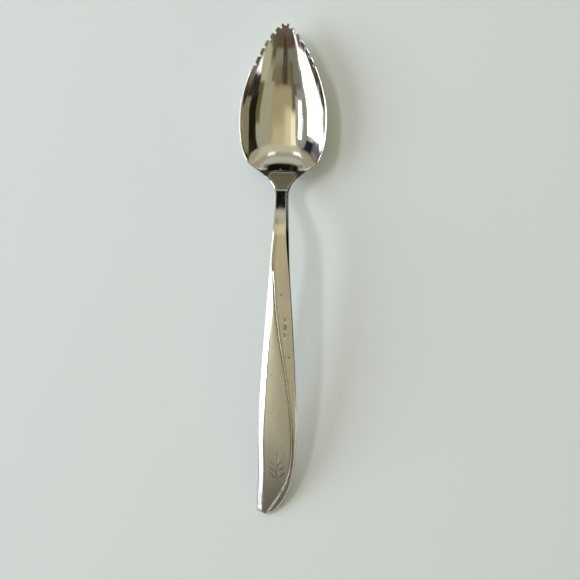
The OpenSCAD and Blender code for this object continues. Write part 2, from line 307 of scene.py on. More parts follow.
def top_z(y):
    """Height of the top face: a parabola to the tip, a cubic rise to the crest, a power-law fall."""
    tip = RIM_Z + TIP_RISE * (np.maximum(y - WIDE_Y, 0) / WIDEST_FROM_TIP) ** 2
    rise_from = ROOT_Y + SHOULDER_RUN
    up = np.clip((rise_from - y) / (rise_from - CREST_Y), 0, 1)
    neck = mix(RIM_Z, CREST_Z, curve(RISE_SHARES, up))
    fall = mix(CREST_Z, HANDLE_T, (np.maximum(CREST_Y - y, 0) / (CREST_Y - END_Y)) ** FALL_POW)
    return np.where(y >= WIDE_Y, tip, np.where(y >= CREST_Y, neck, fall))


def round_half(c, along_pow):
    """Half width of the outline |x|^p + c^q = 1, which closes at c = 1."""
    return np.maximum(0, 1 - np.minimum(1, np.maximum(c, 0)) ** along_pow) ** (1 / ACROSS_POW)


def shoulder_half(y):
    """Half width of neck and shoulders: a parabola whose radius is SHOULDER_R at its foot."""
    return NECK_W / 2 + np.maximum(0, y - (ROOT_Y - SHOULDER_RUN)) ** 2 / (2 * SHOULDER_R)


def blank_half(y):
    """Half width of the bowl's blank: a superellipse to the tip, eased into the shoulders."""
    front = BOWL_W / 2 * round_half((y - WIDE_Y) / WIDEST_FROM_TIP, TIP_POW)
    heel_run = WIDE_Y - ROOT_Y + CLOSING_RUN
    back = BOWL_W / 2 * round_half((WIDE_Y - y) / heel_run, HEEL_POW)
    spread = shoulder_half(y)
    over = np.maximum(0, CORNER_ROUND - np.abs(spread - back))
    eased = np.minimum(spread, back) - over**2 / (4 * CORNER_ROUND)
    return np.where(y >= WIDE_Y, front, eased)


def mouth_half(y):
    """Half width of the hollow's mouth: a square-heeled superellipse, one land inside the blank."""
    front = round_half((y - WIDE_Y) / (WIDEST_FROM_TIP - RIM_LAND_W), TIP_POW)
    back = round_half((WIDE_Y - y) / (WIDE_Y - HEEL_Y), MOUTH_HEEL_POW)
    dish = BOWL_W / 2 - RIM_LAND_W
    land = RIM_LAND_W * mix(1, SLANT_SHARE, neck_share(y))
    return np.where(y >= WIDE_Y, dish * front, np.minimum(blank_half(y) - land, dish * back))


def floor_depth(y, heel_run, tip_run=WIDEST_FROM_TIP):
    """Depth of the hollow along its middle: power laws to the tip and to the heel."""
    front = np.minimum(1, np.maximum(y - WIDE_Y, 0) / tip_run) ** FLOOR_TIP_POW
    back = np.minimum(1, np.maximum(WIDE_Y - y, 0) / heel_run) ** FLOOR_HEEL_POW
    return BOWL_DEPTH * np.where(y >= WIDE_Y, 1 - front, 1 - back)


def neck_share(y):
    """0 where the section is the bowl's thin wall, 1 where it is the neck's bar."""
    return 1 - ramp(y, ROOT_Y, WIDE_Y - (WIDE_Y - ROOT_Y) / 3)


def edge_drop(y):
    """How far the land beside the edge falls."""
    return mix(RIM_DROP, ROOT_BEVEL_DROP, neck_share(y))


def mouth_point(angle):
    """Outline of the hollow's mouth for an angle of 0 at the tip and 180 at the heel."""
    c = np.cos(np.radians(angle))
    y = WIDE_Y + np.where(c >= 0, WIDEST_FROM_TIP - RIM_LAND_W, WIDE_Y - HEEL_Y) * c
    return np.stack([mouth_half(y), y], -1)


def inside_depth(x, y):
    """Depth below the rim inside the mouth: the floor's depth times 1 - |x / half width|^n."""
    across = np.minimum(1, np.abs(x) / np.maximum(mouth_half(y), LEAST_HALF))
    floor = floor_depth(y, WIDE_Y - HEEL_Y, WIDEST_FROM_TIP - RIM_LAND_W)
    return floor * (1 - across**HOLLOW_POW)


def mouth_table():
    """Direction from the bowl's middle, radius of the mouth there, and the wall's slope at it."""
    ring = mouth_point(np.linspace(0, 180, MOUTH_SAMPLES))
    turn = np.arctan2(ring[:, 0], ring[:, 1] - WIDE_Y)
    radius = np.hypot(ring[:, 0], ring[:, 1] - WIDE_Y)
    near = NEAR_MOUTH * radius
    depth = inside_depth(near * np.sin(turn), WIDE_Y + near * np.cos(turn))
    return turn, radius, depth / (radius - near)


MOUTH = mouth_table()


def hollow(x, y):
    """Depth below the rim anywhere: as inside, then on past the mouth at the wall's own slope."""
    turn = np.arctan2(np.abs(x), y - WIDE_Y)
    out = np.hypot(x, y - WIDE_Y)
    radius = np.interp(turn, MOUTH[0], MOUTH[1])
    slope = np.interp(turn, MOUTH[0], MOUTH[2])
    return np.where(out < radius, inside_depth(x, y), -slope * (out - radius))


def land_z(x, y):
    """Height of the land: the top face less a fall that grows over one strip beside the edge."""
    step = CREASE
    half = blank_half(y)
    slope = (blank_half(y + step) - blank_half(y - step)) / (2 * step)
    inside = (half - np.abs(x)) / np.sqrt(1 + slope**2)
    strip = mix(RIM_LAND_W / 2, LEFT_BEVEL_W, neck_share(y))
    return top_z(y) - edge_drop(y) * rise(1 - inside / strip, CREASE)


def bowl_back_z(x, y):
    """Underside: the edge's foot less the body's depth times 1 - |x / half width|^n."""
    k = neck_share(y)
    edge = edge_drop(y) + mix(RIM_FACE, NECK_FACE, k)
    body = mix(WALL_T, NECK_T, k) - edge + floor_depth(y, WIDE_Y - HEEL_Y + WALL_T)
    across = np.minimum(1, np.abs(x) / np.maximum(blank_half(y), LEAST_HALF))
    z = top_z(y) - edge - body * (1 - across ** mix(HOLLOW_POW, BACK_POW, k))
    return rise(z, CREASE)


def blank_point(angle):
    """Outline of the blank for an angle of 0 at the tip and ROOT_ANGLE at the root's corner."""
    c = np.cos(np.radians(angle))
    back = WIDE_Y + (WIDE_Y - ROOT_Y) * c / -math.cos(math.radians(ROOT_ANGLE))
    y = np.where(c >= 0, WIDE_Y + WIDEST_FROM_TIP * c, np.maximum(ROOT_Y, back))
    return np.stack([blank_half(y), y], -1)


def normals_of(path):
    """Unit normals, pointing left of the way along an open path, from central differences."""
    ahead = np.roll(path, -1, 0) - np.roll(path, 1, 0)
    ahead[0] = path[1] - path[0]
    ahead[-1] = path[-1] - path[-2]
    left = np.stack([-ahead[:, 1], ahead[:, 0]], -1)
    return left / np.maximum(np.linalg.norm(left, axis=1, keepdims=True), 1e-9)


def serrated_side():
    """Right side of the rim from the tip to the root's corner with its bites, and the ring inside.

    Each bite is an arc of a circle whose centre lies inside the rim, each tooth a top rounded back
    by a power of the way from its middle, both laid along the plain outline by arc length. The ring
    inside follows the outline at one distance past the bites, then eases into the hollow's mouth.
    """
    angles = np.linspace(0, ROOT_ANGLE, OUTLINE_SAMPLES)
    plain = blank_point(angles)
    run = np.r_[0, np.cumsum(np.linalg.norm(np.diff(plain, axis=0), axis=1))]
    outward = normals_of(plain)
    order = np.arange(BITES_PER_SIDE + 1) / BITES_PER_SIDE
    places = SERRATED_ARC * order**BITE_POW
    radii = mix(BITE_R, LAST_BITE_R, order)
    lobes = mix(LOBE_NEAR_TIP, LOBE_NEAR_SHOULDER, order)
    powers = mix(LOBE_POW_NEAR_TIP, LOBE_POW_NEAR_SHOULDER, order)
    u, v, g = [], [], []
    for i, (place, r) in enumerate(zip(places, radii)):
        before = math.acos((lobes[i - 1] - (BITE_DEPTH - r)) / r) if i else 0.0
        after = math.acos((lobes[i] - (BITE_DEPTH - r)) / r)
        count = BITE_POINTS if i else BITE_POINTS // 2
        share = np.arange(count) / count
        theta = mix(-before, after, share)
        u.append(place + r * np.sin(theta))
        v.append(BITE_DEPTH - r + r * np.cos(theta))
        g.append(mix(place - r if i else 0, place + r, share))
        start, root = place + r * math.sin(after), place + r
        if i < BITES_PER_SIDE:
            r = radii[i + 1]
            end = places[i + 1] - r * math.sin(math.acos((lobes[i] - (BITE_DEPTH - r)) / r))
            share = np.arange(TOOTH_POINTS) / TOOTH_POINTS
            u.append(mix(start, end, share))
            v.append(lobes[i] * np.abs(2 * share - 1) ** powers[i])
            g.append(mix(root, places[i + 1] - r, share))
    rest = np.linspace(start, run[-1], PLAIN_POINTS)
    w = np.clip(1 - (rest - start) / (LAST_EASE_RADII * radii[-1]), 0, 1)
    u = np.concatenate([*u, rest])
    v = np.concatenate([*v, lobes[-1] * w**LAST_EASE_POW])
    g = np.concatenate([*g, rest + (root - start) * w])

    def at(along, depth):
        """A point this far along the outline and this deep inside it, the very tip worn flat."""
        k = ramp(along, 0, TIP_EASE)
        way = np.stack([np.interp(along, run, outward[:, i]) for i in (0, 1)], -1)
        way = mix(np.array([0, 1]), way, k[:, None])
        way /= np.linalg.norm(way, axis=1, keepdims=True)
        points = blank_point(np.interp(along, run, angles)) - way * depth[:, None]
        points[:, 1] = TIP_Y - TIP_WORN - rise(TIP_Y - TIP_WORN - points[:, 1], CREASE)
        return points

    deep = np.full(len(u), BITE_DEPTH + EDGE_R + LAND_LEAST)
    mouth = mouth_point(np.interp(g, run, angles))
    inner = mix(mouth, at(g, deep), 1 - ramp(g - SERRATED_ARC, *INNER_EASE)[:, None])
    return at(u, v), inner


def lean(y):
    """Length of the shoulders' edge for each millimetre along the spoon."""
    return np.sqrt(1 + (np.maximum(0, y - (ROOT_Y - SHOULDER_RUN)) / SHOULDER_R) ** 2)


def sides_at(y):
    """Left and right edges of neck and handle: spread by the shares, closed by a quarter ellipse."""
    into_end = np.maximum(0, (END_Y + END_ROUND - y) / END_ROUND) * END_CLOSE_SHARE
    close = np.sqrt(1 - into_end**2)
    spread = shoulder_half(y) - NECK_W / 2
    shift = HANDLE_W / 2 * END_SHARE * (1 - close)
    left = mix(NECK_W, HANDLE_W, curve(LEFT_SHARES, along_share(y))) / 2
    right = mix(NECK_W, HANDLE_W, curve(RIGHT_SHARES, along_share(y))) / 2
    return shift - left * close - spread, shift + right * close + spread


def ridge_share(y):
    """0 on the plain neck and 1 where ridge, band and sunk panel are fully there."""
    return ramp(along_share(y), RIDGE_FROM_SHARE, RIDGE_FULL_SHARE)


def bevel_share(y):
    """0 at the root, where the right bevel is like the left one, and 1 along the neck."""
    return ramp(ROOT_Y - y, *BEVEL_WIDENS)


def trim_share(y):
    """0 where the right edge has the neck's bevel and 1 where it has the handle's narrow trim."""
    return ramp(-y, *BEVEL_TO_TRIM)


def section_lines(y):
    """The lines across each section: edge, band, foot, crown, shoulder, trim, edge."""
    left, right = sides_at(y)
    wide = right - left
    k = ridge_share(y)
    band = left + np.minimum(mix(LEFT_BEVEL_W * lean(y), BAND_W, k), wide / 4)
    bevel = mix(LEFT_BEVEL_W, NECK_BEVEL_W, bevel_share(y))
    trim = right - np.minimum(mix(bevel * lean(y), TRIM_W, trim_share(y)), wide / 4)
    half_ridge = np.minimum(RIDGE_W / 2, wide / 12)
    swept = HANDLE_W / 2 * curve(RIDGE_SHARES, along_share(y))
    crown = np.minimum(trim - 2 * half_ridge, np.maximum(swept, band + 2 * half_ridge))
    return np.stack([left, band, crown - half_ridge, crown, crown + half_ridge, trim, right], -1)


def across_samples(lines, inset):
    """Places across each section, evenly spread in each gap, the outer ones inset by a radius."""
    held = lines.copy()
    held[:, 0] += inset
    held[:, -1] -= inset
    spans = [
        mix(held[:, i:i + 1], held[:, i + 1:i + 2], np.arange(n) / n)
        for i, n in enumerate(GAP_SAMPLES)
    ]
    return np.concatenate([*spans, held[:, -1:]], 1)


def stroke_depth(x, y, stroke):
    """Depth of one engraved stroke: a V whose width swells as sin(pi t)^0.7 along it.

    The stroke follows the parabola (1 - t)^2 start + 2t(1 - t) bend + t^2 end.
    """
    start, bend, end, width, depth = stroke
    t = np.linspace(0, 1, STROKE_SAMPLES)[:, None]
    line = (1 - t) ** 2 * start + 2 * t * (1 - t) * np.array(bend) + t**2 * np.array(end)
    half = width / 2 * np.sin(np.pi * np.clip(t[:, 0], 0.02, 0.98)) ** 0.7
    near = np.min(np.hypot(x[..., None] - line[:, 0], y[..., None] - line[:, 1]) / half, axis=-1)
    return depth * np.clip(1 - near, 0, 1)


def ornament():
    """Strokes of the two cuts: a leaf sprig on the panel and a row of lozenges on the strip.

    Each stroke is its start, bend and end, then its width and depth, all in millimetres.
    """
    strokes = []
    x, y = SPRIG_AT
    strokes.append(((x + 0.5, y - 5.4), (x - 0.5, y - 1), (x + 0.2, y + 2.2), 0.36, 0.12))
    strokes.append(((x + 0.2, y + 2.0), (x + 0.5, y + 3.8), (x + 0.1, y + 5.6), 0.56, 0.18))
    for step, size in ((-3.2, 1.0), (-1.0, 0.95), (1.1, 0.8)):
        stem = x + 0.1 - 0.08 * (step + 1)
        for side in (-1, 1):
            strokes.append((
                (stem + side * 0.15, y + step),
                (stem + side * 1.5 * size, y + step + 0.5),
                (stem + side * 2.6 * size, y + step + 2.3 * size),
                0.56 * size, 0.18,
            ))
    x, y = ROW_AT
    for step, size in ((-2.5, 0.8), (0, 1.15), (2.5, 0.8)):
        tip = 1.1 * size
        at = y + step
        strokes.append(((x, at - tip), (x + 0.01, at), (x, at + tip), 1.25 * size, 0.2))
    return strokes


def engraved(x, y):
    """Depth of all engraved strokes at each point, each worked out only in the rows near it."""
    depth = np.zeros(np.broadcast(x, y).shape)
    y = np.broadcast_to(y, depth.shape)
    for stroke in ornament():
        places = np.array(stroke[:3])
        rows = np.flatnonzero(np.abs(y[:, 0] - places[:, 1].mean()) < np.ptp(places[:, 1]) + 1)
        depth[rows] = np.maximum(depth[rows], stroke_depth(x[rows], y[rows], stroke))
    return depth


def pitted(x, y):
    """1 in the middle of each worn pit, falling as exp(-(distance / radius)^2)."""
    mask = 0
    for px, py, r in PITS:
        mask = mask + np.exp(-((x - px) ** 2 + (y - py) ** 2) / r**2)
    return mask


def painted_root_shade(x, y):
    """Painted shade of the flat root and the heel's foot, for their dark reflection, around a paler
    tongue whose edge is paler still, a painted highlight.

    The tongue lies within TONGUE_R of a line TONGUE_HALF long to each side, and inside the
    shoulders. Here inset is the distance from the tongue's edge, less than 0 outside.
    """
    half = shoulder_half(y) - SHOULDER_MARGIN
    along = ramp(y - ROOT_Y, *ROOT_SHADES) * (1 - ramp(y - HEEL_Y, *HEEL_CLEARS))
    corner = np.hypot(np.maximum(np.abs(x) - TONGUE_HALF, 0), np.maximum(y - TONGUE_Y, 0))
    inset = np.minimum(TONGUE_R - corner, shoulder_half(y) - TONGUE_MARGIN - np.abs(x))
    tongue = mix(TONGUE_EDGE_SHADE, TONGUE_SHADE, ramp(inset, *TONGUE_EDGE))
    around = mix(tongue, 1, ramp(-inset, 0, TONGUE_EDGE[0]))
    return along * (1 - ramp(np.abs(x), half, half + SHOULDER_BORDER)) * around


def grip_top_z(x, y, lines):
    """Top of neck and handle: the level face less band, sunk panel, strip and trim, plus the ridge.

    Each plane falls by a softened ramp from its line, the panel has a parabola's crown, and the
    ridge is a bell a third as wide as its own strip.
    """
    left, band, foot, crown, shoulder, trim, right = (lines[:, i:i + 1] for i in range(7))
    k = ridge_share(y)
    sunk = PANEL_SINK * k * (1 - ramp(x, foot, crown))
    band_share = ramp(along_share(y), BAND_FROM_SHARE, BAND_FULL_SHARE)
    band_fall = mix(ROOT_BEVEL_DROP, BAND_DROP, band_share)
    fall_left = band_fall * rise((band - x) / (band - left), CREASE)
    s = np.clip((x - band) / (foot - band), 0, 1)
    swell = 4 * PANEL_CROWN * k * s * (1 - s)
    bell = RIDGE_H * k * np.exp(-((x - crown) / (RIDGE_W / 3)) ** 2)
    t = np.clip((x - shoulder) / (trim - shoulder), 0, 1)
    strip = STRIP_FALL * k * t * t
    trim_fall = mix(ROOT_BEVEL_DROP, NECK_BEVEL_DROP, bevel_share(y))
    trim_fall = mix(trim_fall, TRIM_W, trim_share(y))
    fall_right = trim_fall * rise((x - trim) / (right - trim), CREASE)
    groove = GROOVE_D * k * np.exp(-((x - foot) / GROOVE_W) ** 2)
    return top_z(y) - sunk - fall_left + swell + bell - strip - fall_right - groove


def grip_back_z(x, y, lines, top):
    """Underside: flat in the middle and rounded up to each edge by the fourth power."""
    middle = (lines[:, :1] + lines[:, -1:]) / 2
    half = (lines[:, -1:] - lines[:, :1]) / 2
    across = np.minimum(1, np.abs(x - middle) / half)
    thick = mix(NECK_T, HANDLE_T, 1 - ramp(y, GRIP_Y - (ROOT_Y - GRIP_Y), ROOT_Y))
    face = mix(NECK_FACE, HANDLE_FACE, ridge_share(y))
    edge = np.where(x < middle, top[:, :1], top[:, -1:]) - face
    return np.maximum(mix(top_z(y) - thick, edge, across**BACK_POW), 0)


def edge_rows(inner_z, foot_z, inset):
    """Offsets and heights down an edge, inner end first: quarter round, upright, quarter round."""
    turn = np.linspace(0, math.pi / 2, EDGE_ROWS)
    over = [inset * (1 - math.sin(a)) for a in turn]
    upper = [inner_z - inset * (1 - math.cos(a)) for a in turn]
    lower = [foot_z + inset * (1 - math.cos(a)) for a in turn]
    return np.stack(over + over[::-1]), np.stack(upper + lower[::-1])


def finishes(x, y, lines, cuts):
    """Masks of satin and of painted shade over the top of neck and handle."""
    band, foot, crown, shoulder, trim = (lines[:, i:i + 1] for i in range(1, 6))
    panel = ramp(x, band, band + BAND_BORDER) * (1 - ramp(x, foot - SATIN_BORDER, foot))
    strip = ramp(x, shoulder, shoulder + SATIN_BORDER) * (1 - ramp(x, trim - SATIN_BORDER, trim))
    faces = np.maximum(panel * mix(PANEL_END_SATIN_AND_SHADE, 1, ramp(y, *PANEL_END)), STRIP_SATIN * strip)
    satin = faces * ramp(-y, *SATIN_BEGINS) * (1 - np.clip(cuts / BRIGHT_CUT, 0, 1))
    # painted shade: the root, the grip's end, the panel towards the ridge and the right bevel
    painted_shade = np.max([
        painted_root_shade(x, y),
        END_SHADE * faces * ramp(-y, *END_SHADES),
        RIDGE_SIDE_SHADE * panel * ramp(x, band, foot),
        BEVEL_SHADE * ramp(x, trim, trim + SHADE_BORDER) * ramp(y, *BEVEL_SHADES),
    ], axis=0)
    return satin * mix(NECK_SATIN, 1, ridge_share(y)), painted_shade


def make_bar():
    """Sections at falling values of y, as four grids: top, underside, left edge and right edge.

    Also gives the number of sections in the neck and, over the top, the masks satin, worn and
    painted shade side by side.
    """
    neck = np.linspace(ROOT_Y, GRIP_Y, NECK_SECTIONS)
    places = [GRIP_Y]
    while places[-1] > END_Y + END_ROUND:
        from_sprig, from_row = (abs(places[-1] - at[1]) for at in (SPRIG_AT, ROW_AT))
        fine = from_sprig < SPRIG_HALF or from_row < ROW_HALF
        places.append(places[-1] - (FINE_STEP if fine else SECTION_STEP))
    places[-1] = END_Y + END_ROUND
    closing = END_Y + END_ROUND * (1 - np.sin(np.linspace(0, math.pi / 2, END_SECTIONS)[1:]))
    closing[-1] = END_Y
    stations = np.concatenate([neck, places[1:], closing])
    y = stations[:, None]
    lines = section_lines(stations)
    near_root = ramp(stations, ROOT_Y - SEAM_RUN, ROOT_Y)
    edge_r = np.minimum(mix(EDGE_R, SEAM_R, near_root), (lines[:, -1] - lines[:, 0]) / 12)
    x = across_samples(lines, edge_r)
    z = grip_top_z(x, y, lines)
    back = grip_back_z(x, y, lines, z)
    cuts = engraved(x, y)
    worn = pitted(x, y)
    z = z - cuts - PIT_DEPTH * worn
    full_y = np.broadcast_to(y, x.shape)
    top = np.stack([x, full_y, z], -1)
    under = np.stack([x, full_y, back], -1)
    edges = []
    for side, end in ((-1, 0), (1, -1)):
        over, heights = edge_rows(z[:, end], back[:, end], edge_r)
        at = lines[:, end] - side * over
        edges.append(np.stack([at.T, np.broadcast_to(y, at.T.shape), heights.T], -1))
    satin, painted_shade = finishes(x, y, lines, cuts)
    return top, under, *edges, len(neck), np.stack([satin, worn, painted_shade], -1)


def bar_faces(rows, columns, turned):
    """Two triangles for each cell of a grid whose points are numbered row by row."""
    i, j = np.meshgrid(np.arange(rows - 1), np.arange(columns - 1), indexing="ij")
    a = (i * columns + j).ravel()
    cells = np.stack([a, a + 1, a + columns + 1, a, a + columns + 1, a + columns], -1).reshape(-1, 3)
    return cells[:, ::-1] if turned else cells


class Skin:
    """Grids of points with their triangles and masks, gathered for one piece."""

    def __init__(self):
        self.points, self.faces, self.masks, self.caps, self.count = [], [], [], [], 0

    def add(self, grid, turned=False, masks=None, cap=False):
        rows, columns = grid.shape[:2]
        faces = bar_faces(rows, columns, turned) + self.count
        (self.caps if cap else self.faces).append(faces)
        self.points.append(grid.reshape(-1, 3))
        masks = np.zeros((rows, columns, 3)) if masks is None else masks
        self.masks.append(masks.reshape(-1, 3))
        self.count += rows * columns


def cap_grid(top, under, left, right):
    """A section's face as a grid of two rows: upper line and lower line, edge to edge."""
    half = len(left) // 2
    upper = np.concatenate([left[:half][::-1], top, right[:half]])
    lower = np.concatenate([left[half:], under, right[half:][::-1]])
    return np.stack([upper, lower])


def make_neck_and_handle(bar):
    """Two skins cut from the bar: the neck as it is, the handle's back from every third column."""
    top, under, left, right, n, masks = bar
    skins = []
    for rows, step in ((slice(0, n), 1), (slice(n - 1, None), BACK_STEP)):
        # a cap's lower line holds only points that the back keeps, so that no gap opens
        kept = np.arange(top.shape[1]) // step * step
        skin = Skin()
        skin.add(top[rows], turned=True, masks=masks[rows])
        skin.add(under[rows, ::step])
        skin.add(left[rows])
        skin.add(right[rows], turned=True)
        first, last = rows.start, (n - 1 if rows.stop else -1)
        for end, turned in ((first, False), (last, True)):
            cap = cap_grid(top[end], under[end, kept], left[end], right[end])
            skin.add(cap, turned=turned, cap=True)
        skins.append(skin)
    return skins


def make_bowl(bar):
    """Rings from the floor's middle out over the land, down the edge, and in under the back.

    The columns run from the tip down the right side, across the cut at the root and up the left.
    """
    top_row, under_row = bar[0][0, ::-1], bar[1][0, ::-1]
    left_row, right_row = bar[2][0], bar[3][0]
    side, side_inner = serrated_side()
    n_side, n_cut = len(side), len(top_row)
    cut = slice(n_side, n_side + n_cut)
    half = blank_half(np.array([ROOT_Y]))[0]
    across = top_row[:, 0] / half
    cut_inner = mouth_point(180 - (180 - ROOT_ANGLE) * np.abs(across))
    cut_inner[:, 0] *= np.sign(across)
    mirror = np.array([-1, 1])
    loop = np.concatenate([side, top_row[:, :2], side[::-1] * mirror])
    inner = np.concatenate([side_inner, cut_inner, side_inner[::-1] * mirror])

    inward = -normals_of(side)
    for _ in range(3):
        inward[1:-1] = (inward[:-2] + 2 * inward[1:-1] + inward[2:]) / 4
    inward[0], inward[-1] = (0, -1), (-1, 0)
    inward = np.concatenate([inward, np.zeros((n_cut, 2)), inward[::-1] * mirror])
    edge_r = mix(SEAM_R, EDGE_R, ramp(loop[:, 1], ROOT_Y, ROOT_Y + SEAM_RUN))
    held = loop + inward * edge_r[:, None]
    centre = np.array([0, WIDE_Y])

    wall = [mix(centre, inner, k) for k in WALL_SHARES]
    rings = np.stack(wall + [mix(inner, held, k) for k in LAND_SHARES])
    x, y = rings[..., 0], rings[..., 1]
    top = np.concatenate([rings, (land_z(x, y) - rise(hollow(x, y), MOUTH_CREASE))[..., None]], -1)
    top[-1, cut] = top_row

    sides = np.r_[n_side + n_cut:len(loop), 0:n_side]
    foot_z = bowl_back_z(loop[sides, 0], loop[sides, 1])
    over, heights = edge_rows(top[-1, sides, 2], foot_z, edge_r[sides])
    share = over / edge_r[sides]
    edge = mix(loop[sides], held[sides], share[..., None])
    edge = np.concatenate([edge, heights[..., None]], -1)
    edge[:, 0], edge[:, -1] = left_row, right_row

    back = [mix(held, inner, k) for k in BACK_LAND_SHARES]
    back += [mix(centre, inner, k) for k in BACK_SHARES]
    under = np.stack([np.concatenate([r, bowl_back_z(r[:, 0], r[:, 1])[:, None]], 1) for r in back])
    under[0, sides] = edge[-1]
    under[0, cut] = under_row
    top[-1, n_side - 1], top[-1, n_side + n_cut] = right_row[0], left_row[0]

    masks = np.zeros((*top.shape[:2], 3))
    # painted shade of the root, standing in for its dark reflection
    masks[..., 2] = painted_root_shade(top[..., 0], top[..., 1])
    skin = Skin()
    skin.add(top, masks=masks)
    skin.add(edge)
    skin.add(under)
    skin.add(cap_grid(bar[0][0], bar[1][0], left_row, right_row), turned=True, cap=True)
    return skin


def weld(points):
    """One number for all points that meet, to a hundred-thousandth of a millimetre."""
    _, first, same = np.unique(np.round(points, 5), axis=0, return_index=True, return_inverse=True)
    return first, same.reshape(-1)


def whole(faces):
    """The faces that keep three different corners after welding."""
    a, b, c = faces.T
    return faces[(a != b) & (b != c) & (c != a)]


def skin_normals(skins):
    """Area-weighted point normals taken over all the pieces at once, so that no cut shows."""
    points = np.concatenate([p for skin in skins for p in skin.points])
    first, same = weld(points)
    faces, base = [], 0
    for skin in skins:
        faces += [f + base for f in skin.faces]
        base += skin.count
    faces = whole(same[np.concatenate(faces)])
    at = points[first]
    a, b, c = (at[faces[:, i]] for i in range(3))
    area = np.cross(b - a, c - a)
    total = np.zeros_like(at)
    for i in range(3):
        for axis in range(3):
            total[:, axis] += np.bincount(faces[:, i], area[:, axis], len(at))
    total /= np.maximum(np.linalg.norm(total, axis=1, keepdims=True), 1e-12)
    return total[same]


def build_piece(name, skin, normals):
    """The skin as a mesh at the origin, its meeting points welded, with the given normals."""
    points = np.concatenate(skin.points)
    masks = np.concatenate(skin.masks)
    first, same = weld(points)
    faces = whole(same[np.concatenate(skin.faces + skin.caps)])
    mesh = bpy.data.meshes.new(name)
    mesh.from_pydata((points[first] * MM).tolist(), [], faces.tolist())
    mesh.polygons.foreach_set("use_smooth", np.ones(len(faces), bool))
    mesh.normals_split_custom_set_from_vertices(normals[first].tolist())
    for i, mask in enumerate(MASKS):
        high = np.zeros(len(first))
        np.maximum.at(high, same, masks[:, i])
        mesh.attributes.new(mask, "FLOAT", "POINT").data.foreach_set("value", high)
    piece = bpy.data.objects.new(name, mesh)
    bpy.context.scene.collection.objects.link(piece)
    return piece


def socket(group, name, kind, output=False, value=None):
    """A new input or output of a node group, with its value where one is given."""
    made = group.interface.new_socket(name, in_out="OUTPUT" if output else "INPUT", socket_type=kind)
    if value is not None:
        made.default_value = value


def join(tree, value, slot):
    """Give an input a socket's value by a link, or a number or colour of its own."""
    if hasattr(value, "is_linked"):
        tree.links.new(value, slot)
    elif slot.type == "RGBA":
        slot.default_value = (*value, 1)
    else:
        slot.default_value = value


def linked_math(tree, operation, a, b=0.0):
    """One sum of two numbers, each a socket or a value."""
    node = tree.nodes.new("ShaderNodeMath")
    node.operation = operation
    join(tree, a, node.inputs[0])
    join(tree, b, node.inputs[1])
    return node.outputs["Value"]


def linked_mix(tree, factor, a, b, kind="FLOAT", blend="MIX"):
    """Mix of two numbers, or of two colours where kind is RGBA."""
    node = tree.nodes.new("ShaderNodeMix")
    node.data_type = kind
    node.blend_type = blend
    for name, value in (("Factor", factor), ("A", a), ("B", b)):
        join(tree, value, node.inputs[name])
    return node.outputs["Result"]


def linked_range(tree, value, low, high, to_low=-1.0, smooth=False):
    """The value with low to high spread over to_low to 1, and held there past both ends."""
    node = tree.nodes.new("ShaderNodeMapRange")
    node.interpolation_type = "SMOOTHSTEP" if smooth else "LINEAR"
    for name, given in (("Value", value), ("From Min", low), ("From Max", high), ("To Min", to_low)):
        join(tree, given, node.inputs[name])
    return node.outputs["Result"]


def linked_noise(tree, vector, scale, detail, roughness=0.5):
    """Soft noise, 0 to 1, at a place."""
    node = tree.nodes.new("ShaderNodeTexNoise")
    for name, value in (("Vector", vector), ("Scale", scale), ("Detail", detail),
                        ("Roughness", roughness)):
        join(tree, value, node.inputs[name])
    return node.outputs["Fac"]


def fine_scratches():
    """Long thin noise in two slanted directions, as a height and as a change of roughness."""
    group = bpy.data.node_groups.new("Fine scratches", "ShaderNodeTree")
    socket(group, "Stretch", "NodeSocketVector", value=SCRATCH_STRETCH)
    socket(group, "Height", "NodeSocketFloat", output=True)
    socket(group, "Roughness change", "NodeSocketFloat", output=True)
    given, out = group.nodes.new("NodeGroupInput"), group.nodes.new("NodeGroupOutput")
    place = group.nodes.new("ShaderNodeTexCoord")
    heights = []
    for turn, scale in SCRATCH_LAYERS:
        mapping = group.nodes.new("ShaderNodeMapping")
        mapping.inputs["Rotation"].default_value = (0, 0, turn)
        join(group, place.outputs["Object"], mapping.inputs["Vector"])
        join(group, given.outputs["Stretch"], mapping.inputs["Scale"])
        heights.append(linked_noise(group, mapping.outputs["Vector"], scale, 3.0))
    both = linked_math(group, "MULTIPLY", *heights)
    join(group, both, out.inputs["Height"])
    join(group, linked_range(group, both, 0.15, 0.4), out.inputs["Roughness change"])
    return group


def clouding():
    """Broad soft noise, -1 to 1, for the handling and tarnishing that dull steel in patches."""
    group = bpy.data.node_groups.new("Clouding", "ShaderNodeTree")
    socket(group, "Scale", "NodeSocketFloat", value=CLOUD_SCALE)
    socket(group, "Clouding", "NodeSocketFloat", output=True)
    given, out = group.nodes.new("NodeGroupInput"), group.nodes.new("NodeGroupOutput")
    place = group.nodes.new("ShaderNodeTexCoord")
    noise = linked_noise(group, place.outputs["Object"], given.outputs["Scale"], 4.0, 0.55)
    join(group, linked_range(group, noise, 0.3, 0.7), out.inputs["Clouding"])
    return group


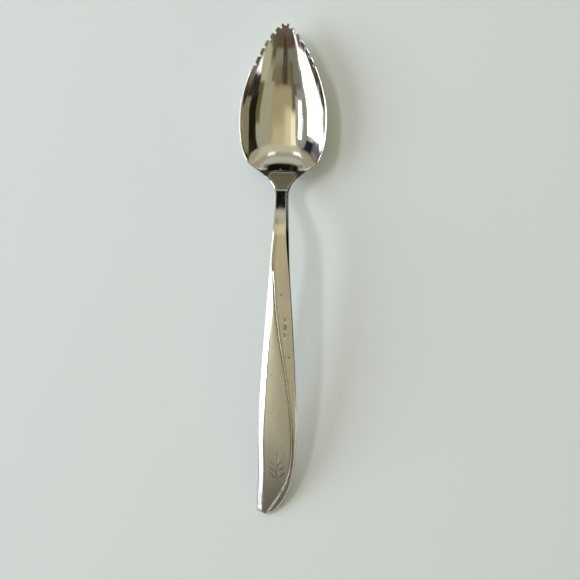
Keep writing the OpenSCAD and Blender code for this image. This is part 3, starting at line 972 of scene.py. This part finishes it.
def steel(name, polished, satin, groups):
    """Bare steel in two finishes, mixed by the piece's own satin mask, with pits and painted shade.

    Each finish is a colour, a roughness, a height of grain and a share of bare metal. Scratches
    and clouding change the roughness of both alike.
    """
    material = bpy.data.materials.new(name)
    material.use_nodes = True
    tree = material.node_tree
    nodes = tree.nodes
    surface = nodes["Principled BSDF"]
    masks = {}
    for mask in MASKS:
        node = nodes.new("ShaderNodeAttribute")
        node.attribute_name = mask
        masks[mask] = node.outputs["Fac"]
    scratches = nodes.new("ShaderNodeGroup")
    scratches.node_tree = groups["scratches"]
    cloud = nodes.new("ShaderNodeGroup")
    cloud.node_tree = groups["clouding"]
    patches = cloud.outputs["Clouding"]
    metal, dull, grain = (
        linked_mix(tree, masks["satin"], polished[value], satin[value])
        for value in ("metal", "roughness", "grain")
    )
    join(tree, metal, surface.inputs["Metallic"])

    tone = linked_mix(tree, masks["satin"], polished["colour"], satin["colour"], "RGBA")
    cloudy = linked_math(tree, "MULTIPLY", patches, CLOUD_STRENGTH)
    tone = linked_mix(tree, cloudy, tone, CLOUD_TINT, "RGBA", "MULTIPLY")
    # painted shade: the third mask darkens the colour where the steel shows dark reflections
    tone = linked_mix(tree, masks["painted_shade"], tone, PAINTED_SHADE_TINT, "RGBA", "MULTIPLY")
    tone = linked_mix(tree, masks["worn"], tone, PIT_COLOUR, "RGBA")
    join(tree, tone, surface.inputs["Base Color"])

    for change in (scratches.outputs["Roughness change"], patches):
        part = linked_math(tree, "MULTIPLY", change, ROUGHNESS_CHANGE)
        dull = linked_math(tree, "ADD", dull, part)
    join(tree, dull, surface.inputs["Roughness"])

    bump = nodes.new("ShaderNodeBump")
    bump.inputs["Distance"].default_value = MM
    height = linked_math(tree, "MULTIPLY", scratches.outputs["Height"], grain)
    join(tree, height, bump.inputs["Height"])
    join(tree, bump.outputs["Normal"], surface.inputs["Normal"])
    return material


def plain_floor():
    """A pale matt table top, for the picture only."""
    material = bpy.data.materials.new("Pale table")
    material.use_nodes = True
    surface = material.node_tree.nodes["Principled BSDF"]
    surface.inputs["Base Color"].default_value = (*TABLE_COLOUR, 1)
    surface.inputs["Roughness"].default_value = 0.6
    surface.inputs["Specular IOR Level"].default_value = 0.2
    mesh = bpy.data.meshes.new("table_top")
    r = TABLE_HALF
    mesh.from_pydata([(-r, -r, 0), (r, -r, 0), (r, r, 0), (-r, r, 0)], [], [(0, 1, 2, 3)])
    mesh.materials.append(material)
    floor = bpy.data.objects.new("table_top", mesh)
    bpy.context.scene.collection.objects.link(floor)


PATCH_INPUTS = (("Across", 0.0), ("Along", 0.0), ("Left", -1.0), ("Right", 1.0), ("Near", -1.0),
                ("Far", 1.0), ("Softness", 0.1))


def soft_patch():
    """1 inside a rectangle of two components of the direction, 0 outside, with soft borders."""
    group = bpy.data.node_groups.new("Soft patch", "ShaderNodeTree")
    for name, value in PATCH_INPUTS:
        socket(group, name, "NodeSocketFloat", value=value)
    socket(group, "Mask", "NodeSocketFloat", output=True)
    given, out = group.nodes.new("NodeGroupInput"), group.nodes.new("NodeGroupOutput")
    at = given.outputs
    sides = [linked_math(group, "SUBTRACT", at[a], at[b]) for a, b in
             (("Across", "Left"), ("Right", "Across"), ("Along", "Near"), ("Far", "Along"))]
    least = linked_math(group, "MINIMUM", sides[0], sides[1])
    least = linked_math(group, "MINIMUM", least, linked_math(group, "MINIMUM", sides[2], sides[3]))
    depth = linked_math(group, "DIVIDE", least, at["Softness"])
    join(group, linked_range(group, depth, -0.5, 0.5, 0.0, smooth=True), out.inputs["Mask"])
    return group


# The room as soft patches of light over a dim base, each laid over those before it. The five
# numbers are the left, right, near and far sides and the softness, as components of the direction
# of length 1: x and y in the sky. On a wall, left and right are z instead, with the sign of x. The
# colour is what polished steel shows of the patch on the screen: parts over 255 are bright light.
ROOM_BASE = (96, 86, 72)
ROOM = (
    # the far end, the right-hand side and the ceiling
    ("sky", -2, 2, 0.66, 2, 0.12, (150, 144, 124)),
    ("sky", 0.33, 2, -0.5, 0.7, 0.14, (154, 151, 125)),
    ("sky", -0.24, 0.37, -0.14, 0.7, 0.12, (156, 144, 108)),
    ("sky", -0.15, 0.3, 0.18, 0.66, 0.2, (180, 168, 130)),
    ("sky", -0.45, 0.6, 0.58, 0.78, 0.08, (182, 176, 148)),
    # the ceiling's lit part
    ("sky", -0.19, -0.03, 0.08, 0.62, 0.08, (205, 193, 152)),
    ("sky", -0.36, -0.18, 0.11, 0.6, 0.06, (242, 232, 194)),
    # the left-hand side with its wide window
    ("sky", -0.47, -0.36, -0.04, 0.62, 0.05, (150, 147, 130)),
    ("sky", -0.8, -0.46, -0.12, 0.62, 0.06, (134, 133, 121)),
    ("sky", -0.88, -0.79, -0.1, 0.44, 0.06, (178, 182, 177)),
    ("sky", -2, -0.87, -0.4, 0.44, 0.05, (280, 282, 282)),
    ("wall", -0.36, -0.15, 0.35, 0.57, 0.04, (96, 95, 106)),
    ("wall", -0.57, -0.34, 0.4, 0.63, 0.04, (30, 29, 38)),
    # the near left with its dark parts and the window's narrow side
    ("sky", -0.76, -0.14, -0.56, -0.16, 0.08, (116, 115, 98)),
    ("sky", -0.36, -0.19, -0.4, -0.13, 0.05, (98, 88, 60)),
    ("sky", -0.66, -0.08, -0.63, -0.53, 0.04, (86, 70, 58)),
    ("sky", -0.94, -0.82, -0.28, -0.09, 0.04, (176, 183, 188)),
    ("sky", -0.83, -0.76, -0.48, -0.1, 0.03, (272, 274, 274)),
    ("sky", -0.79, -0.71, -0.64, -0.42, 0.02, (272, 274, 274)),
    # the near right
    ("sky", 0.03, 0.66, -0.54, -0.36, 0.05, (130, 126, 104)),
    ("sky", 0.07, 0.5, -0.35, -0.19, 0.03, (116, 106, 74)),
    ("sky", 0.04, 0.72, -0.66, -0.53, 0.05, (88, 76, 54)),
    ("sky", 0.46, 0.74, -0.64, -0.42, 0.05, (92, 84, 56)),
    ("sky", -0.065, 0.025, -0.64, -0.15, 0.035, (62, 52, 36)),
    # the right-hand wall: a dark strip with a pale one below it
    ("sky", 0.78, 0.92, -0.2, 0.16, 0.05, (96, 88, 58)),
    ("wall", 0.0, 0.22, -0.1, 0.64, 0.03, (126, 117, 92)),
    ("wall", 0.21, 0.47, -0.1, 0.57, 0.03, (30, 26, 13)),
    ("sky", 0.7, 0.89, -0.5, -0.2, 0.05, (172, 166, 134)),
    ("sky", 0.92, 0.98, -0.47, -0.25, 0.03, (265, 265, 258)),
    ("sky", 0.985, 2, -0.5, -0.2, 0.02, (104, 100, 92)),
    ("sky", 0.9, 2, -0.25, -0.07, 0.03, (44, 41, 34)),
    # the far wall: two lamps, a pale strip and the dark below it
    ("sky", -0.41, -0.22, 0.745, 0.81, 0.04, (262, 262, 258)),
    ("sky", 0.13, 0.31, 0.765, 0.825, 0.04, (262, 262, 258)),
    ("sky", -0.32, 0.32, 0.87, 0.95, 0.04, (172, 169, 150)),
    ("sky", -0.46, -0.24, 0.945, 2, 0.03, (20, 19, 13)),
    ("sky", 0.2, 0.42, 0.955, 2, 0.03, (20, 19, 13)),
    ("sky", -0.34, 0.26, 0.965, 2, 0.02, (16, 15, 10)),
)


def light_of(shown):
    """Light that polished steel shows as this screen colour: the screen's curve over the steel's."""
    c = np.array(shown) / 255
    linear = np.where(c > 0.04, ((c + 0.055) / 1.055) ** 2.4, c / 12.92)
    return (linear / STEEL_COLOUR).tolist()


def room():
    """World light by direction, patch over patch, and plain where the camera sees it."""
    world = bpy.data.worlds.new("Room")
    bpy.context.scene.world = world
    world.use_nodes = True
    tree = world.node_tree
    nodes = tree.nodes
    place = nodes.new("ShaderNodeTexCoord")
    parts = nodes.new("ShaderNodeSeparateXYZ")
    join(tree, place.outputs["Generated"], parts.inputs["Vector"])
    side = linked_math(tree, "SIGN", parts.outputs["X"])
    height = linked_math(tree, "MULTIPLY", parts.outputs["Z"], side)
    across = {"sky": parts.outputs["X"], "wall": height}
    group = soft_patch()
    colour = light_of(ROOM_BASE)
    for kind, *sides, shown in ROOM:
        patch = nodes.new("ShaderNodeGroup")
        patch.node_tree = group
        given = (across[kind], parts.outputs["Y"], *sides)
        for (name, _), value in zip(PATCH_INPUTS, given):
            join(tree, value, patch.inputs[name])
        colour = linked_mix(tree, patch.outputs["Mask"], colour, light_of(shown), "RGBA")
    seen = nodes.new("ShaderNodeLightPath")
    colour = linked_mix(tree, seen.outputs["Is Camera Ray"], colour, BACKDROP, "RGBA")
    join(tree, colour, nodes["Background"].inputs["Color"])


def lamp(name, place, target, size, power, colour):
    """An area light at one place, turned to face another."""
    light = bpy.data.lights.new(name, "AREA")
    light.shape = "RECTANGLE"
    light.size, light.size_y = size
    light.energy = power
    light.color = colour
    made = bpy.data.objects.new(name, light)
    made.location = place
    made.rotation_euler = (Vector(target) - Vector(place)).to_track_quat("-Z", "Y").to_euler()
    bpy.context.scene.collection.objects.link(made)


def camera():
    """Straight down on the spoon, from as far as the photograph was taken."""
    data = bpy.data.cameras.new("Camera")
    data.sensor_width = SENSOR
    data.lens = LENS
    data.clip_start = 0.01
    eye = bpy.data.objects.new("Camera", data)
    eye.location = [at * MM for at in CAMERA_AT]
    eye.rotation_euler = (0, 0, math.radians(CAMERA_TURN))
    bpy.context.scene.collection.objects.link(eye)
    bpy.context.scene.camera = eye


def spoon():
    """The three pieces in their two materials, with one set of normals over all of them."""
    bar = make_bar()
    neck, handle = make_neck_and_handle(bar)
    skins = [make_bowl(bar), neck, handle]
    normals = skin_normals(skins)
    groups = {"scratches": fine_scratches(), "clouding": clouding()}
    bright = {"colour": STEEL_COLOUR, "roughness": 0.09, "grain": 0.01, "metal": 1.0}
    # the satin keeps little bare metal, so its cream colour shows as a partly painted warm sheen
    soft = {"colour": SATIN_SHEEN_COLOUR, "roughness": 0.36, "grain": 0.02, "metal": 0.36}
    mirror = steel("Polished steel", bright, dict(soft, roughness=0.22, grain=0.008), groups)
    brushed = steel("Satin steel", dict(bright, roughness=0.15), soft, groups)
    base = 0
    for skin, node, material, slot in (
        (skins[0], "bowl", mirror, "polished_steel"),
        (skins[1], "neck", mirror, "polished_steel"),
        (skins[2], "handle", brushed, "satin_steel"),
    ):
        piece = build_piece("spoon_" + node, skin, normals[base:base + skin.count])
        base += skin.count
        piece.data.materials.append(material)
        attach(piece, "root")
        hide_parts(node)


bpy.context.scene.view_settings.view_transform = "Standard"
spoon()
plain_floor()
room()
for row in LAMPS:
    lamp(*row)
camera()
